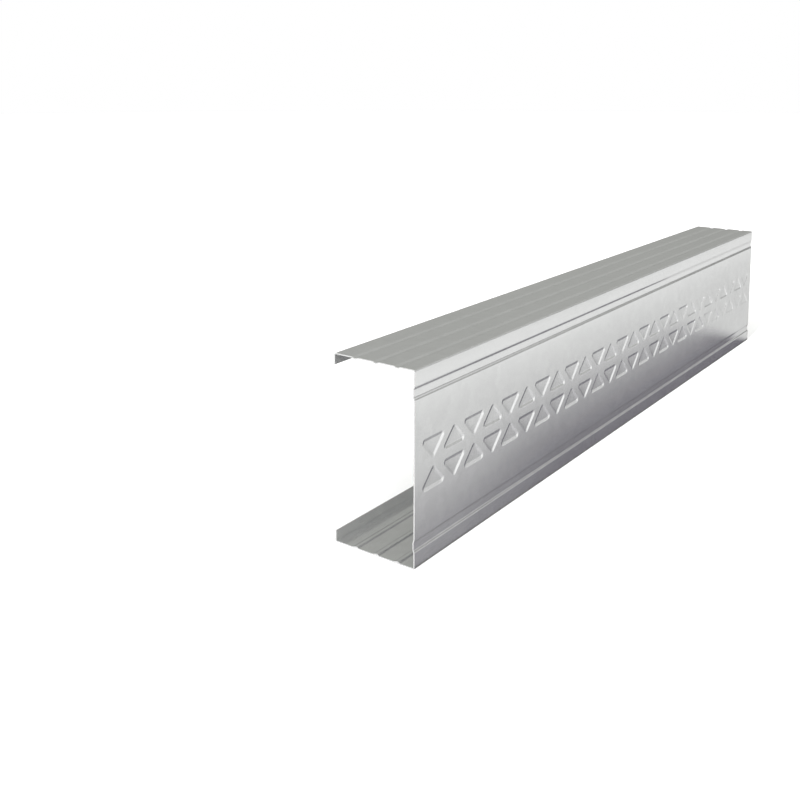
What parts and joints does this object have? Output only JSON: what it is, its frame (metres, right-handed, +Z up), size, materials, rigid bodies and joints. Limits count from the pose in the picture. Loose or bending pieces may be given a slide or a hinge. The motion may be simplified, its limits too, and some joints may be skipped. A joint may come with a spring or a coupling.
{
  "type": "drywall stud",
  "caption": "Short length of lipped C stud in thin galvanised sheet, with long beads in web and flanges and rows of pressed triangles along the web.",
  "frame": {"origin": "middle of the bounding box's base: half way along the stud, half way across the flanges, on the outer face of the lower flange", "axes": "+X along the stud, +Y from the web towards the open side, +Z up across the web"},
  "size_m": [0.52, 0.05, 0.1],
  "materials": {
    "galvanised_sheet": "satin hot-dip zinc, unpainted"
  },
  "bodies": {
    "root": {"stud": "galvanised_sheet"}
  },
  "joints": []
}
